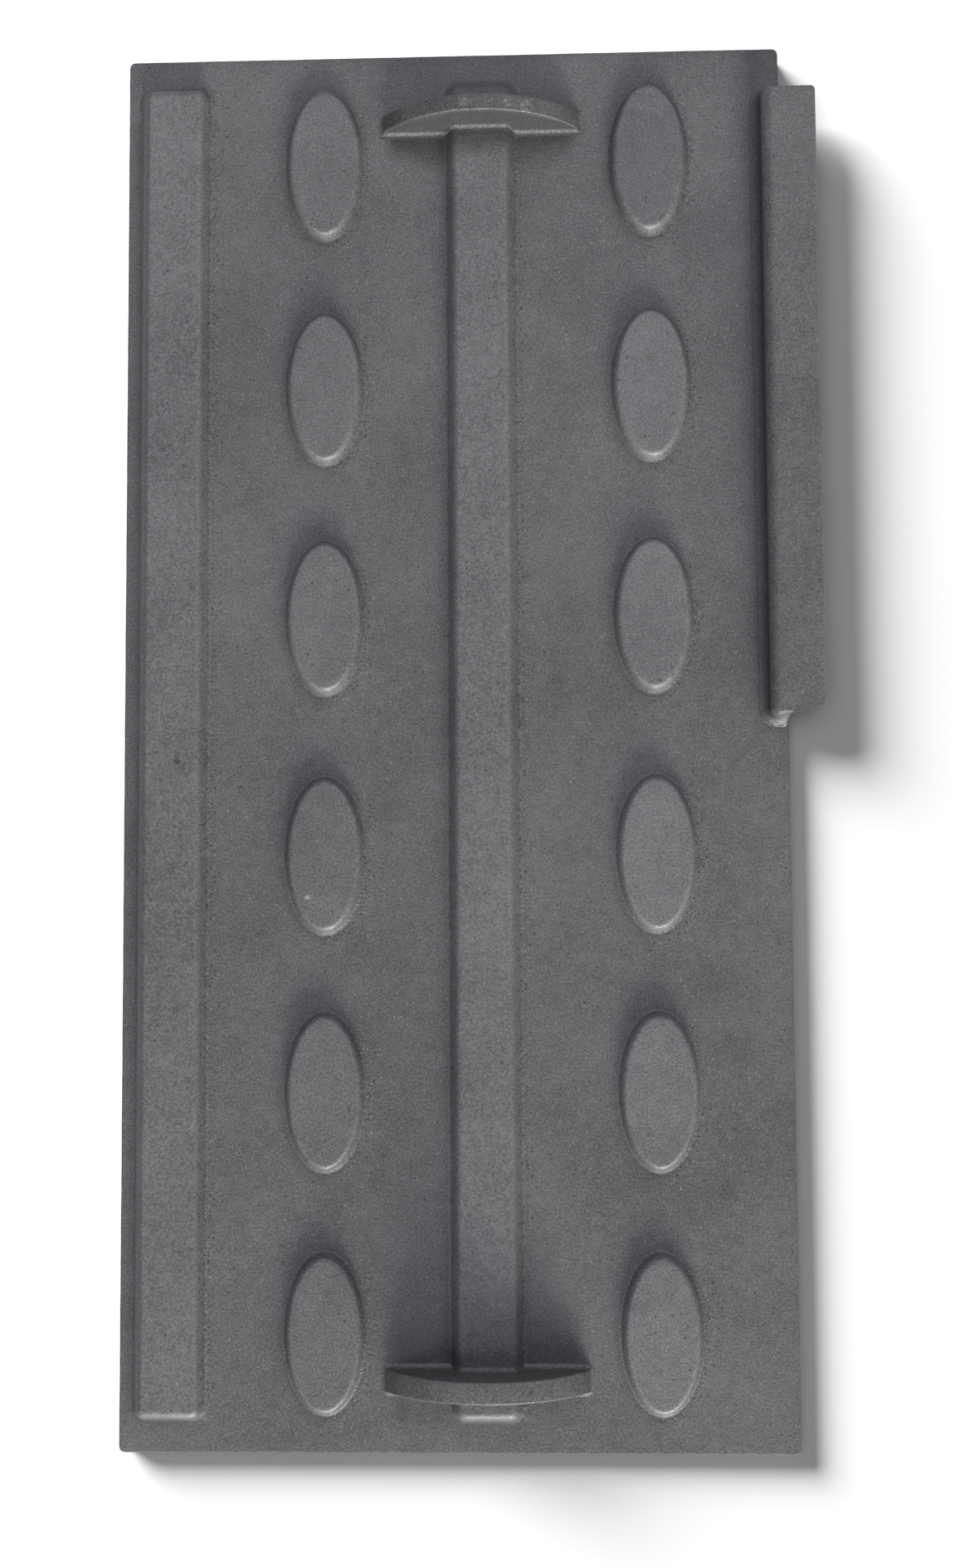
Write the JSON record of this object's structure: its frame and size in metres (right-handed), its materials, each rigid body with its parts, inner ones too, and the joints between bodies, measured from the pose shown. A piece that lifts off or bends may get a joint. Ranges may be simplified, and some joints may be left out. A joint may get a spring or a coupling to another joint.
{
  "type": "fireback",
  "caption": "Rectangular cast-iron stove fireback with a ribbed and padded back, half-moon lugs and a side lip that laps over the adjoining plate.",
  "frame": {"origin": "middle of the whole outline, on the smooth fire face that the plate lies on", "axes": "+X across the plate towards the lip, +Y up the plate's length towards its lipped end, +Z out of the ribbed back"},
  "size_m": [0.2144, 0.43, 0.024],
  "materials": {
    "plate": "sand-cast grain under dark grey stove paint",
    "ribs": "sand-cast grain under dark grey stove paint, edges rubbed lighter",
    "pads": "sand-cast grain under dark grey stove paint, edges rubbed lighter",
    "lugs": "sand-cast grain under dark grey stove paint, bare metal spots on the free edge",
    "lip": "sand-cast grain under dark grey stove paint"
  },
  "bodies": {
    "root": {"base_plate": "plate", "left_bar": "ribs", "centre_rib": "ribs", "top_lug": "lugs", "bottom_lug": "lugs", "edge_lip": "lip", "left_pad_1": "pads", "left_pad_2": "pads", "left_pad_3": "pads", "left_pad_4": "pads", "left_pad_5": "pads", "left_pad_6": "pads", "right_pad_1": "pads", "right_pad_2": "pads", "right_pad_3": "pads", "right_pad_4": "pads", "right_pad_5": "pads", "right_pad_6": "pads"}
  },
  "joints": []
}
